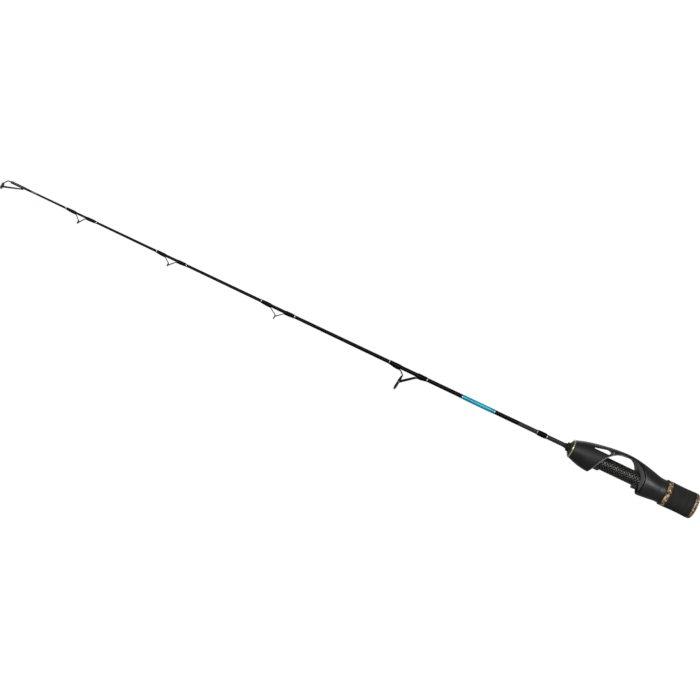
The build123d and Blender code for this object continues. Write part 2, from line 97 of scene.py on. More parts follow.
def new_piece(name, points, faces, uvs=None):
    """A smooth-shaded mesh object; uvs are one pair for each point."""
    mesh = bpy.data.meshes.new(name)
    mesh.from_pydata([tuple(p) for p in points], [], faces)
    if uvs is not None:
        layer = mesh.uv_layers.new(name="along")
        index = np.zeros(len(mesh.loops), np.int32)
        mesh.loops.foreach_get("vertex_index", index)
        layer.data.foreach_set("uv", np.array(uvs, np.float32)[index].ravel())
    mesh.polygons.foreach_set("use_smooth", [True] * len(mesh.polygons))
    mesh.update()
    return add_to_scene(name, mesh)


def finish_piece(piece, body, slot, material, *replaced):
    """Give a piece its body and material, and let it stand for CAD nodes. Its slot is not used."""
    piece.data.materials.append(material)
    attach(piece, body)
    if replaced:
        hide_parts(*replaced)


def set_attribute(mesh, name, values):
    """Give each point of a mesh a number that materials can read by name."""
    layer = mesh.attributes.new(name, "FLOAT", "POINT")
    layer.data.foreach_set("value", values)


def rings_to_faces(rings, around, closed=True, first=0):
    """Quads between neighbouring rings of points, each ring having around points, from point first on."""
    faces = []
    last = rings if closed else rings - 1
    for i in range(last):
        a = first + i * around
        b = first + (i + 1) % rings * around
        for j in range(around):
            k = (j + 1) % around
            faces.append((a + j, b + j, b + k, a + k))
    return faces


def turn(outline, around, shape=None):
    """Points and uvs of (x, radius) points turned about the rod's axis; shape(x, r, angle) may change a
    radius. Angle 0 is the +Y side and a quarter turn is the top."""
    points = []
    uvs = []
    for x, r in outline:
        for j in range(around):
            angle = TURN * j / around
            radius = shape(x, r, angle) if shape else r
            points.append((x, radius * math.cos(angle), radius * math.sin(angle)))
            uvs.append((x / MM, j / around))
    return points, uvs


def turned(name, outline, around, shape=None, closed=True):
    """A mesh turned about the rod's axis from (x, radius) points, around of them to each ring."""
    points, uvs = turn(outline, around, shape)
    return new_piece(name, points, rings_to_faces(len(outline), around, closed), uvs)


def dense(outline, step):
    """The same outline with points no further than step apart."""
    result = []
    count = len(outline)
    for i in range(count):
        (x0, r0), (x1, r1) = outline[i], outline[(i + 1) % count]
        pieces = max(1, math.ceil(math.hypot(x1 - x0, r1 - r0) / step))
        for k in range(pieces):
            share = k / pieces
            result.append((x0 + (x1 - x0) * share, r0 + (r1 - r0) * share))
    return result


def rounded(corners, radius, steps=5):
    """A closed outline with its corners rounded; radius is one value or one for each corner."""
    count = len(corners)
    radii = radius if isinstance(radius, (list, tuple)) else [radius] * count
    most = 0.48  # share of a side that one corner may take
    result = []
    for i in range(count):
        here = Vector(corners[i])
        before = Vector(corners[i - 1]) - here
        after = Vector(corners[(i + 1) % count]) - here
        if radii[i] <= 0:
            result.append(tuple(here))
            continue
        reach = min(radii[i], before.length * most, after.length * most)
        start = here + before.normalized() * reach
        end = here + after.normalized() * reach
        for k in range(steps + 1):
            t = k / steps
            p = start * (1 - t) ** 2 + here * 2 * t * (1 - t) + end * t * t
            result.append(tuple(p))
    return result


def smooth_step(value, low, high):
    """0 below low, 1 above high and smooth between."""
    t = min(1.0, max(0.0, (value - low) / (high - low)))
    return t * t * (3 - 2 * t)


def bell(distance, half):
    """1 where the distance is 0, and falling smoothly away from there."""
    return math.exp(-((distance / half) ** 2))


# ---- materials -----------------------------------------------------------------------------------
def shade(colour, factor):
    """A colour made lighter or darker, never over white."""
    return tuple(min(1.0, c * factor) for c in colour)


class Shader:
    """A principled material with helpers for its procedural nodes."""

    def __init__(self, name, colour, roughness, metallic=0.0, coat=0.0, coat_roughness=0.05):
        self.material = bpy.data.materials.new(name)
        self.material.use_nodes = True
        self.tree = self.material.node_tree
        self.surface = self.tree.nodes["Principled BSDF"]
        self.set("Base Color", (*colour, 1.0))
        self.set("Roughness", roughness)
        self.set("Metallic", metallic)
        self.set("Coat Weight", coat)
        self.set("Coat Roughness", coat_roughness)

    def set(self, socket, value):
        self.surface.inputs[socket].default_value = value

    def node(self, kind, **settings):
        made = self.tree.nodes.new(kind)
        for key, value in settings.items():
            setattr(made, key, value)
        return made

    def link(self, source, target):
        self.tree.links.new(source, target)

    def fill(self, target, value):
        """Put a number or a colour on a socket, or link the output that gives its value."""
        if isinstance(value, (int, float)):
            target.default_value = value
        elif isinstance(value, tuple):
            target.default_value = (*value, 1.0)
        else:
            self.link(value, target)

    def coordinates(self, scale, kind="Object"):
        """Texture coordinates in millimetres, times scale along each axis; uvs are in them already."""
        place = self.node("ShaderNodeTexCoord")
        mapping = self.node("ShaderNodeMapping")
        per_mm = 1 / MM if kind == "Object" else 1.0
        mapping.inputs["Scale"].default_value = [s * per_mm for s in scale]
        self.link(place.outputs[kind], mapping.inputs["Vector"])
        return mapping.outputs["Vector"]

    def noise(self, scale, detail=4.0, roughness=0.55, kind="Object", distortion=0.0):
        texture = self.node("ShaderNodeTexNoise")
        texture.inputs["Scale"].default_value = 1.0
        texture.inputs["Detail"].default_value = detail
        texture.inputs["Roughness"].default_value = roughness
        texture.inputs["Distortion"].default_value = distortion
        self.link(self.coordinates(scale, kind), texture.inputs["Vector"])
        return texture.outputs["Fac"]

    def cells(self, scale, output="Color", feature="F1"):
        texture = self.node("ShaderNodeTexVoronoi", feature=feature)
        texture.inputs["Scale"].default_value = 1.0
        self.link(self.coordinates(scale), texture.inputs["Vector"])
        return texture.outputs[output]

    def channels(self, colour):
        """The red, green and blue outputs of a colour."""
        split = self.node("ShaderNodeSeparateColor")
        self.link(colour, split.inputs["Color"])
        return split.outputs

    def attribute(self, name):
        """A number that the mesh holds for each point."""
        return self.node("ShaderNodeAttribute", attribute_name=name).outputs["Fac"]

    def ramp(self, value, stops):
        """A colour ramp; stops are (place, colour)."""
        made = self.node("ShaderNodeValToRGB")
        elements = made.color_ramp.elements
        while len(elements) < len(stops):
            elements.new(0.5)
        for element, (place, colour) in zip(elements, stops):
            element.position = place
            element.color = (*colour, 1.0)
        self.link(value, made.inputs["Fac"])
        return made.outputs["Color"]

    def grey_ramp(self, value, stops):
        return self.ramp(value, [(place, (grey,) * 3) for place, grey in stops])

    def mix(self, factor, first, second, blend="MIX"):
        """Two colours mixed; a mix node has its colour inputs at 6 and 7, and their result at 2."""
        made = self.node("ShaderNodeMix", data_type="RGBA", blend_type=blend)
        for index, value in ((0, factor), (6, first), (7, second)):
            self.fill(made.inputs[index], value)
        return made.outputs[2]

    def times(self, first, second):
        """Two colours multiplied."""
        return self.mix(1.0, first, second, "MULTIPLY")

    def math(self, operation, first, second):
        made = self.node("ShaderNodeMath", operation=operation)
        for target, value in zip(made.inputs, (first, second)):
            self.fill(target, value)
        return made.outputs["Value"]

    def along_rod(self, stops):
        """Grey values along the rod; stops are (x in metres, grey), with straight ramps between."""
        place = self.node("ShaderNodeTexCoord")
        split = self.node("ShaderNodeSeparateXYZ")
        self.link(place.outputs["Object"], split.inputs["Vector"])
        low, high = stops[0][0], stops[-1][0]
        share = self.node("ShaderNodeMapRange")
        share.inputs["From Min"].default_value = low
        share.inputs["From Max"].default_value = high
        self.link(split.outputs["X"], share.inputs["Value"])
        placed = [((x - low) / (high - low), grey) for x, grey in stops]
        return self.grey_ramp(share.outputs["Result"], placed)

    def bump(self, height, distance_mm, strength):
        made = self.node("ShaderNodeBump")
        made.inputs["Strength"].default_value = strength
        made.inputs["Distance"].default_value = distance_mm * MM
        self.link(height, made.inputs["Height"])
        self.link(made.outputs["Normal"], self.surface.inputs["Normal"])

    def colour(self, source):
        self.link(source, self.surface.inputs["Base Color"])

    def roughness(self, source):
        self.link(source, self.surface.inputs["Roughness"])


def soft_touch(name, colour, roughness):
    """Moulded nylon with a soft-touch skin: fine grain, cloudy sheen, a painted highlight on the arch's
    rims and rear bevel, and painted shade in the groove behind the rear rim.
    """
    s = Shader(name, colour, roughness)
    cloud = s.noise((0.09, 0.09, 0.09), detail=3)
    grain = s.noise((3.2, 3.2, 3.2), detail=5, roughness=0.6)
    skin = s.ramp(cloud, [(0.3, shade(colour, 0.8)), (0.7, shade(colour, 1.35))])
    # the rim value paints light and shade: over 0 it mixes in a pale grey as a painted highlight on the
    # rims and rear bevel, under 0 it darkens the groove as painted shade and dims its shine
    rim = s.attribute("rim")
    painted_rim_highlight = (0.26, 0.258, 0.254)
    rim_highlight_mask = s.grey_ramp(rim, [(0.05, 0.0), (1.0, 1.0)])
    groove_painted_shade = s.grey_ramp(s.math("MULTIPLY", rim, -1.0), [(0.1, 1.0), (0.7, 0.1)])
    s.colour(s.times(s.mix(rim_highlight_mask, skin, painted_rim_highlight), groove_painted_shade))
    # the rear half is rubbed to a satin by the hand, so it is less rough and shines more
    change = span("rear_foot_pad")[0]
    reach = 4 * MM
    satin = s.along_rod([(change - reach, 0.82), (change + reach, 1.0)])
    shine = s.along_rod([(change - reach, 0.68), (change + reach, 0.36)])
    blotch = s.grey_ramp(cloud, [(0.25, roughness - 0.07), (0.75, roughness + 0.08)])
    s.roughness(s.math("MULTIPLY", blotch, satin))
    s.link(s.math("MULTIPLY", groove_painted_shade, shine), s.surface.inputs["Specular IOR Level"])
    s.bump(grain, 0.02, 0.55)
    return s.material


def rubber(name, colour):
    """Matte rubber with a fine bloom."""
    s = Shader(name, colour, 0.6)
    s.set("Specular IOR Level", 0.3)
    bloom = s.noise((0.6, 0.6, 0.6))
    pores = s.noise((5.0, 5.0, 5.0), detail=3)
    s.colour(s.ramp(bloom, [(0.35, colour), (0.75, shade(colour, 1.6))]))
    s.bump(pores, 0.015, 0.6)
    return s.material


def foam_grip(name):
    """Closed-cell foam: fine pores, painted darker as shade in their pits, and faint uneven patches."""
    s = Shader(name, (0.03, 0.03, 0.029), 0.86)
    s.set("Specular IOR Level", 0.3)
    pores = s.cells((2.3, 2.3, 2.3), "Distance")
    fine = s.noise((6.0, 6.0, 6.0))
    patch = s.noise((0.25, 0.12, 0.12))
    tone = s.ramp(patch, [(0.3, (0.013, 0.013, 0.0125)), (0.72, (0.026, 0.0255, 0.024))])
    # the middles of the pores are painted darker, as shade in their pits
    pore_shade = s.grey_ramp(pores, [(0.05, 0.55), (0.4, 1.0)])
    s.colour(s.times(tone, pore_shade))
    s.bump(s.math("ADD", pores, fine), 0.035, 0.7)
    return s.material


def cork(name, rear, front, edge):
    """Composite cork: pale granules with dark seams and specks, darker towards its edges."""
    s = Shader(name, (0.55, 0.4, 0.22), 0.72)
    s.set("Specular IOR Level", 0.3)
    granule = (0.5, 0.6, 0.6)
    tans = [
        (0.0, (0.05, 0.025, 0.01)),
        (0.35, (0.22, 0.14, 0.065)),
        (0.65, (0.48, 0.34, 0.19)),
        (1.0, (0.86, 0.68, 0.44)),
    ]
    tan = s.ramp(s.channels(s.cells(granule))["Red"], tans)
    seams = s.cells(granule, "Distance", "DISTANCE_TO_EDGE")
    seam_dark = s.grey_ramp(seams, [(0.0, 0.25), (0.09, 1.0)])
    specks = s.noise((1.3, 1.3, 1.3), detail=5, roughness=0.65)
    speck_dark = s.grey_ramp(specks, [(0.38, 0.1), (0.48, 1.0)])
    body = s.times(s.times(tan, seam_dark), speck_dark)
    dark_edge_grain = s.ramp(specks, [(0.35, (0.008, 0.005, 0.004)), (0.7, (0.06, 0.03, 0.016))])
    # the line between the dark edge and the pale body wanders
    wander = s.noise((0.5, 0.5, 0.5), detail=3)
    sway = 0.7
    place = s.along_rod([(rear, 0.0), (rear + edge * 2, 1.0), (front - edge * 2, 1.0), (front, 0.0)])
    shifted = s.math("ADD", place, s.math("MULTIPLY", s.math("SUBTRACT", wander, 0.5), sway))
    inner = s.grey_ramp(shifted, [(0.44, 0.0), (0.56, 1.0)])
    s.colour(s.mix(inner, dark_edge_grain, body))
    s.bump(s.math("MULTIPLY", seam_dark, speck_dark), 0.08, 0.6)
    return s.material


def graphite_blank(name):
    """Glossy black graphite under clear coat; near the handle the bare weave shows, paler."""
    s = Shader(name, (0.012, 0.012, 0.013), 0.32, coat=0.06, coat_roughness=0.06)
    s.set("Specular IOR Level", 0.06)
    fibre = s.noise((0.02, 5.0, 5.0), detail=5, roughness=0.7)
    black = s.ramp(fibre, [(0.3, (0.001, 0.001, 0.001)), (0.75, (0.006, 0.006, 0.0065))])
    wave = s.node("ShaderNodeTexWave", wave_type="BANDS", bands_direction="DIAGONAL")
    wave.inputs["Scale"].default_value = 1.0
    wave.inputs["Distortion"].default_value = 0.6
    s.link(s.coordinates((0.55, 0.55, 0.55)), wave.inputs["Vector"])
    weave = s.ramp(wave.outputs["Fac"], [(0.2, (0.010, 0.010, 0.0105)), (0.8, (0.05, 0.05, 0.051))])
    check_front = span("winding_check")[1]
    wrap_rear, wrap_front = span("butt_wrap_trims")
    fade = 1.5 * MM
    bare_end = wrap_front + 21 * MM
    bare_stretches = [
        (check_front - fade, 1.0),
        (wrap_rear, 1.0),
        (wrap_rear + fade, 0.0),
        (wrap_front - fade, 0.0),
        (wrap_front, 1.0),
        (bare_end - fade, 1.0),
        (bare_end, 0.0),
    ]
    s.colour(s.mix(s.along_rod(bare_stretches), black, weave))
    s.roughness(s.grey_ramp(fibre, [(0.3, 0.26), (0.7, 0.38)]))
    s.bump(fibre, 0.01, 0.35)
    return s.material


def braided_carbon(name):
    """Carbon tows: fibres along each tow, painted shade black between them and where they run under,
    painted glints on their crowns, under a thin clear coat.
    """
    s = Shader(name, (0.03, 0.03, 0.032), 0.34, metallic=0.6, coat=0.05, coat_roughness=0.15)
    s.set("Specular IOR Level", 0.15)
    fibre = s.noise((0.35, 9.0, 1.0), roughness=0.65, kind="UV")
    tone = s.noise((0.22, 1.1, 1.0), detail=2, kind="UV")
    # the dark tube shows between the tows; painted shade darkens each tow at its edges and where it runs
    # under, and its crown is grey as a painted glint
    shade_and_glint_stops = [
        (0.3, (0.0008, 0.0008, 0.0008)),
        (0.62, (0.010, 0.010, 0.0095)),
        (0.95, (0.17, 0.166, 0.155)),
    ]
    painted_shade_and_glint = s.ramp(s.attribute("height"), shade_and_glint_stops)
    streaks = s.grey_ramp(fibre, [(0.25, 0.45), (0.8, 1.3)])
    uneven = s.grey_ramp(tone, [(0.3, 0.4), (0.7, 1.4)])
    s.colour(s.times(s.times(painted_shade_and_glint, streaks), uneven))
    s.roughness(s.grey_ramp(fibre, [(0.2, 0.26), (0.8, 0.46)]))
    s.bump(fibre, 0.03, 0.8)
    return s.material


def wound_thread(name, colour, shine, tint=None):
    """Fine thread under clear epoxy; tint is (rear, front, colour) of a differently coloured stretch."""
    s = Shader(name, colour, 0.42, coat=shine)
    s.set("Specular IOR Level", 0.05)
    strand = s.noise((6.0, 0.7, 0.7))
    shown = s.ramp(strand, [(0.3, shade(colour, 0.6)), (0.72, shade(colour, 1.7))])
    if tint:
        rear, front, tint_colour = tint
        fade = 0.4 * MM
        mask = s.along_rod([(rear - fade, 0.0), (rear, 1.0), (front, 1.0), (front + fade, 0.0)])
        shown = s.mix(mask, shown, tint_colour)
    s.colour(shown)
    s.bump(strand, 0.012, 0.5)
    return s.material


def silver_thread(name):
    """Bright metallic thread under clear epoxy."""
    s = Shader(name, (0.6, 0.61, 0.63), 0.3, metallic=0.9, coat=0.3, coat_roughness=0.06)
    strand = s.noise((5.0, 0.9, 0.9))
    s.colour(s.ramp(strand, [(0.3, (0.45, 0.46, 0.48)), (0.7, (0.85, 0.86, 0.88))]))
    s.bump(strand, 0.015, 0.5)
    return s.material


def teal_foil(name):
    """Teal foil with long paler and bluer streaks, and fine flake, under clear coat."""
    s = Shader(name, (0.02, 0.4, 0.5), 0.4, metallic=0.3, coat=0.25, coat_roughness=0.06)
    streak = s.noise((0.07, 0.9, 0.9), roughness=0.6)
    flake = s.channels(s.cells((7.0, 7.0, 7.0)))
    teals = [
        (0.28, (0.001, 0.21, 0.42)),
        (0.45, (0.002, 0.33, 0.47)),
        (0.6, (0.003, 0.46, 0.55)),
        (0.78, (0.05, 0.58, 0.66)),
    ]
    glint = s.grey_ramp(flake["Red"], [(0.0, 0.78), (1.0, 1.18)])
    s.colour(s.times(s.ramp(streak, teals), glint))
    s.bump(flake["Green"], 0.004, 0.5)
    return s.material


def turned_metal(name, colour, roughness, metallic=1.0):
    """Turned or brushed metal: fine lines around the axis, light smudges."""
    s = Shader(name, colour, roughness, metallic=metallic)
    line = s.noise((4.0, 0.05, 0.05), detail=3)
    smudge = s.noise((0.3, 0.3, 0.3))
    s.colour(s.ramp(smudge, [(0.3, shade(colour, 0.82)), (0.7, shade(colour, 1.12))]))
    s.roughness(s.grey_ramp(smudge, [(0.3, roughness * 0.8), (0.7, roughness * 1.3)]))
    s.bump(line, 0.01, 0.4)
    return s.material


def guide_steel(name):
    """Black-coated stainless frame: faint stamping grain, handling marks in the sheen."""
    s = Shader(name, (0.008, 0.008, 0.0085), 0.3, metallic=0.15, coat=0.15, coat_roughness=0.12)
    s.set("Specular IOR Level", 0.3)
    grain = s.noise((2.6, 2.6, 0.5))
    marks = s.noise((0.7, 0.7, 0.7), detail=5)
    s.colour(s.ramp(marks, [(0.3, (0.004, 0.004, 0.0045)), (0.75, (0.014, 0.014, 0.015))]))
    s.roughness(s.grey_ramp(marks, [(0.3, 0.22), (0.75, 0.42)]))
    s.bump(grain, 0.008, 0.35)
    return s.material


def ceramic(name):
    """Polished dark ceramic with a faint mottle."""
    s = Shader(name, (0.035, 0.036, 0.04), 0.1, coat=0.6, coat_roughness=0.02)
    mottle = s.noise((1.4, 1.4, 1.4))
    s.colour(s.ramp(mottle, [(0.3, (0.024, 0.025, 0.028)), (0.7, (0.055, 0.056, 0.062))]))
    s.roughness(s.grey_ramp(mottle, [(0.3, 0.07), (0.7, 0.15)]))
    return s.material


def moulded(name, colour, roughness):
    """Plain moulded plastic with a faint flow pattern."""
    s = Shader(name, colour, roughness)
    flow = s.noise((0.1, 0.45, 0.45), distortion=0.6)
    grain = s.noise((4.0, 4.0, 4.0), detail=3)
    s.colour(s.ramp(flow, [(0.3, colour), (0.75, shade(colour, 1.3))]))
    s.roughness(s.grey_ramp(flow, [(0.3, roughness - 0.05), (0.7, roughness + 0.06)]))
    s.bump(grain, 0.01, 0.4)
    return s.material


shell_material = soft_touch("seat_plastic", (0.009, 0.009, 0.0088), 0.5)
hood_material = soft_touch("hood_plastic", (0.010, 0.010, 0.010), 0.55)
rubber_material = rubber("check_rubber", (0.0035, 0.0028, 0.0022))
pad_material = rubber("pad_rubber", (0.006, 0.006, 0.006))
foam_material = foam_grip("eva_foam")
blank_material = graphite_blank("blank_carbon")
braid_material = braided_carbon("braided_carbon")
thread_material = wound_thread("thread_wrap", (0.0012, 0.0012, 0.0012), 0.05)
silver_material = silver_thread("silver_trim")
teal_material = teal_foil("teal_band")
gold_material = turned_metal("gold_metal", (0.60, 0.57, 0.44), 0.30, metallic=0.6)
brass_material = turned_metal("nut_brass", (0.72, 0.54, 0.25), 0.3)
aluminium_material = turned_metal("thread_aluminium", (0.62, 0.63, 0.65), 0.32)
steel_material = guide_steel("guide_metal")
ceramic_material = ceramic("ring_ceramic")
nose_material = moulded("nose_plastic", (0.014, 0.013, 0.007), 0.34)
plug_material = moulded("plug_plastic", (0.022, 0.022, 0.022), 0.5)
inner_material = moulded("inner_plastic", (0.24, 0.24, 0.25), 0.55)


# ---- blank and colour band -------------------------------------------------------------------------
SINK = 0.02 * MM  # how far a sleeve's hidden ends lie under the blank's surface


def make_blank():
    """The tapered blank, fine enough for a clean highlight, its tip's edge broken."""
    rear, front = span("blank")
    rings = 185
    tip_share = 0.96
    outline = [(x, blank_r(x)) for x in np.linspace(rear, front, rings)]
    outline[-1] = (front, blank_r(front) * tip_share)
    outline = [(rear, 0.0), *outline, (front, 0.0)]
    piece = turned("blank_rod", outline, 48, closed=False)
    finish_piece(piece, "rod", "blank_carbon", blank_material, "blank")


def make_colour_band():
    """The foil band, a thin sleeve with soft ends."""
    rear, front = span("colour_band")
    lift = top("colour_band") - blank_r(rear)
    soft_end = 0.6 * MM
    edge_share = 0.35
    rings = 60
    outline = [(rear, blank_r(rear) - SINK)]
    for x in np.linspace(rear, front, rings):
        rise = min(1.0, edge_share + min(x - rear, front - x) / soft_end)
        outline.append((x, blank_r(x) + lift * rise))
    outline.append((front, blank_r(front) - SINK))
    piece = turned("colour_band_foil", outline, 64)
    finish_piece(piece, "rod", "teal_band", teal_material, "colour_band")


# ---- wound thread ----------------------------------------------------------------------------------
THREAD = 0.24 * MM  # from one turn of thread to the next
RIDGE = 0.03 * MM  # height of one turn under epoxy
RINGS_PER_TURN = 6


def coil_ridge(x, angle):
    """Height of the wound thread's surface, from 0 to 1, as one helical strand."""
    phase = (x / THREAD + angle / TURN) % 1.0
    return math.sqrt(max(0.0, 1 - (2 * phase - 1) ** 2))


def trim_coils(name, places, width, crown, replaced):
    """Bands of bright thread, each a few turns; places are their rear ends."""
    around = 56
    rings = 22
    floor_share = 0.72  # height between two turns, as a share of the crown
    sink = 0.03 * MM

    def shape(x, r, angle):
        if r < blank_r(x):
            return r
        return r + crown * (floor_share + (1 - floor_share) * coil_ridge(x, angle))

    points, uvs, faces = [], [], []
    for rear in places:
        front = rear + width
        coil = [(x, blank_r(x)) for x in np.linspace(rear, front, rings)]
        outline = [(rear, blank_r(rear) - sink), *coil, (front, blank_r(front) - sink)]
        faces += rings_to_faces(len(outline), around, first=len(points))
        new_points, new_uvs = turn(outline, around, shape)
        points += new_points
        uvs += new_uvs
    piece = new_piece(name, points, faces, uvs)
    finish_piece(piece, "rod", "silver_trim", silver_material, replaced)


def make_trims():
    """All the bright thread trims on the blank."""
    rear, front = span("colour_band")
    width = rear - span("band_trims")[0]
    crown = top("band_trims") - blank_r(rear)
    places = []
    for number in GUIDES:
        places.append(span(f"guide_{number}_front_wrap")[1])
        places.append(span(f"guide_{number}_rear_wrap")[0] - width)
    trim_coils("guide_trim_threads", places, width, crown, "wrap_trims")
    trim_coils("band_trim_threads", (rear - width, front), width, crown, "band_trims")
    rear, front = span("butt_wrap")
    crown = top("butt_wrap_trims") - blank_r(rear)
    trim_coils("butt_wrap_trim_threads", (rear - width, front), width, crown, "butt_wrap_trims")


def thread_wrap(node, name, foot_end=None):
    """A wound wrap: single strands under epoxy, swelling over a guide's foot on its underside.
    foot_end is the end where the foot thins out, front or rear, or nothing where there is no foot."""
    low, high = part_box(node)
    rear, front = low.x, high.x
    length = front - rear
    lift = high.z - blank_r((rear + front) / 2)
    swell = -low.z - high.z
    shoulder = 1.6 * MM
    end_share = 0.25
    foot_reach = 0.7  # share of the wrap over which the foot thins out

    def shape(x, r, angle):
        if r < blank_r(x):
            return r
        envelope = end_share + (1 - end_share) * smooth_step(min(x - rear, front - x), 0, shoulder)
        along = (x - rear) / length
        thinning = {"front": 1 - along, "rear": along}.get(foot_end, 0.0)
        below = max(0.0, -math.sin(angle)) ** 2
        over_foot = swell * below * smooth_step(thinning, 0.0, foot_reach)
        return r + (lift - RIDGE) * envelope + over_foot * envelope + RIDGE * coil_ridge(x, angle)

    rings = int(length / THREAD * RINGS_PER_TURN)
    wound = [(x, blank_r(x)) for x in np.linspace(rear, front, rings)]
    outline = [(rear, blank_r(rear) - SINK), *wound, (front, blank_r(front) - SINK)]
    piece = turned(name, outline, 52, shape)
    finish_piece(piece, "rod", "thread_wrap", thread_material, node)


def make_wraps():
    """The wraps of the guides, and the butt wrap."""
    for number in GUIDES:
        for end in ("front", "rear"):
            thread_wrap(f"guide_{number}_{end}_wrap", f"guide_{number}_{end}_thread", end)
    thread_wrap("butt_wrap", "butt_wrap_thread")


def make_tip_wrap():
    """The tip top's wrap, tapering from its tube down to the blank, with a teal stretch."""
    rear, front = span("tip_wrap")
    radius = outer_radius("tip_wrap")
    teal_stretch = (rear - 0.5 * MM, rear + 5.6 * MM, (0.09, 0.15, 0.14))
    material = wound_thread("tip_thread", (0.003, 0.003, 0.003), 0.6, teal_stretch)
    rings = int((front - rear) / THREAD * RINGS_PER_TURN)
    wound = [(x, radius(x) - RIDGE) for x in np.linspace(rear, front, rings)]
    outline = [(rear, blank_r(rear) - SINK), *wound, (front, blank_r(front))]

    def shape(x, r, angle):
        return r if r <= blank_r(x) else r + RIDGE * coil_ridge(x, angle)

    piece = turned("tip_wrap_thread", outline, 48, shape)
    finish_piece(piece, "rod", "tip_thread", material, "tip_wrap")


# ---- handle front ----------------------------------------------------------------------------------
cone_rear, cone_front = span("nose_cone")
ring_rear, ring_front = span("trim_ring")
nose_r = outer_radius("nose_cone")
ring_seat_r = nose_r(cone_rear)
front_bore = blank_r(span("winding_check")[1])


def make_winding_check():
    """The stepped rubber collar, with a groove behind its slim front half."""
    rear, front = span("winding_check")
    collar_r = outer_radius("winding_check")
    wide = collar_r(rear)
    slim = collar_r(front - MM)
    step = rear + 0.45 * (front - rear)
    groove_r = slim - 0.35 * MM
    wall = 0.1 * MM
    groove_width = 0.6 * MM
    lip = 0.6 * MM
    corners = [
        (rear, front_bore),
        (rear, wide),
        (step, wide),
        (step + wall, groove_r),
        (step + groove_width - wall, groove_r),
        (step + groove_width, slim),
        (front - lip, slim - 0.05 * MM),
        (front, slim - 0.9 * MM),
        (front, front_bore),
    ]
    radii = [0, 0.3 * MM, 0.25 * MM, wall, wall, 0.25 * MM, 0.35 * MM, 0.3 * MM, 0]
    piece = turned("winding_check_collar", rounded(corners, radii), 72)
    finish_piece(piece, "rod", "check_rubber", rubber_material, "winding_check")


def make_nose_cone():
    """The plastic cone in front of the shell, with a seat for the trim ring."""
    cone_r = nose_r(ring_front)
    shoulder_length, shoulder_drop = 0.45 * MM, 0.25 * MM
    soft = 0.3 * MM
    corners = [
        (cone_rear, front_bore),
        (cone_rear, ring_seat_r),
        (ring_front, ring_seat_r),
        (ring_front, cone_r),
        (ring_front + shoulder_length, cone_r - shoulder_drop),
        (cone_front, nose_r(cone_front)),
        (cone_front, front_bore),
    ]
    piece = turned("nose_cone_turned", rounded(corners, [0, 0, 0, 0.12 * MM, soft, soft, 0]), 96)
    finish_piece(piece, "rod", "nose_plastic", nose_material, "nose_cone")


def make_trim_ring():
    """The pale gold ring between the cone and the shell."""
    ring_r = top("trim_ring")
    soft = 0.35 * MM
    corners = [
        (ring_rear, ring_seat_r),
        (ring_rear, ring_r),
        (ring_front, ring_r),
        (ring_front, ring_seat_r),
    ]
    piece = turned("trim_ring_turned", rounded(corners, [0, soft, soft, 0]), 128)
    finish_piece(piece, "rod", "gold_metal", gold_material, "trim_ring")


# ---- braided core ----------------------------------------------------------------------------------
core_r = top("core_tube")
pad_rear = span("rear_foot_pad")[0]
pad_front = span("front_foot_pad")[1]
bare_rear = pad_rear - 10 * MM
bare_front = pad_front + 6 * MM
TOWS = 20
TOW_SWING = 0.10 * MM  # how far a tow goes in and out from the middle of the braid
TOW_CROWN = 0.16 * MM  # how far a tow's middle stands over its edges
braid_r = core_r - TOW_SWING - TOW_CROWN


def tow_level(family, tow, run, pitch):
    """How high a tow lies, from -1 under to 1 over, where it has run this far: over two, under two."""
    crossing = 2 * tow + family * 2 * run / pitch
    steepness = 1.6
    return family * max(-1.0, min(1.0, steepness * math.sin(math.pi / 2 * (crossing + 0.5))))


def tow_mesh(family, tow, first):
    """Points, uvs, heights and faces of one tow; family is 1 or -1, the way it turns about the rod."""
    pitch = TURN / TOWS
    lean = 0.78 / core_r  # radians for each metre along the rod
    half_width = 0.48  # as a share of the pitch
    edge_shade = 0.7
    uv_shift = 3.7  # keeps neighbouring tows from showing the same fibres
    across = 5
    step = 0.26 * MM
    steps = int((bare_front - bare_rear) / step)
    points, uvs, heights, faces = [], [], [], []
    for i in range(steps + 1):
        run = lean * i * step
        level = tow_level(family, tow, run, pitch)
        for k in range(across):
            share = 2 * k / (across - 1) - 1
            angle = tow * pitch + family * run + share * half_width * pitch
            r = braid_r + level * TOW_SWING + TOW_CROWN * (1 - share * share)
            points.append((bare_rear + i * step, r * math.cos(angle), r * math.sin(angle)))
            uvs.append((i * step / MM + tow * uv_shift, (share + 1) / 2 + tow))
            # height for the braid's painted shade and glints: low where a tow runs under and towards its
            # edges
            heights.append((level + 1) / 2 * (1 - edge_shade * share * share))
    for i in range(steps):
        for k in range(across - 1):
            corner = first + i * across + k
            faces.append((corner, corner + 1, corner + across + 1, corner + across))
    return points, uvs, heights, faces


def make_core():
    """The core tube with its braid: two families of tows, each over two and under two of the other."""
    points, uvs, heights, faces = [], [], [], []
    for family in (1, -1):
        for tow in range(TOWS):
            made = tow_mesh(family, tow, len(points))
            for whole, part in zip((points, uvs, heights, faces), made):
                whole.extend(part)
    # the tube under the tows, full size where the shell and the grip cover it
    rear, front = span("core_tube")
    under_r = braid_r - TOW_SWING
    bore = core_r - 1.55 * MM
    around = 120
    outline = [
        (rear, bore),
        (rear, core_r),
        (bare_rear, core_r),
        (bare_rear, under_r),
        (bare_front, under_r),
        (bare_front, core_r),
        (front, core_r),
        (front, bore),
    ]
    faces += rings_to_faces(len(outline), around, first=len(points))
    tube_points, tube_uvs = turn(outline, around)
    points += tube_points
    uvs += tube_uvs
    heights += [0.0] * len(tube_points)
    piece = new_piece("core_braid", points, faces, uvs)
    set_attribute(piece.data, "height", heights)
    finish_piece(piece, "rod", "braided_carbon", braid_material, "core_tube")


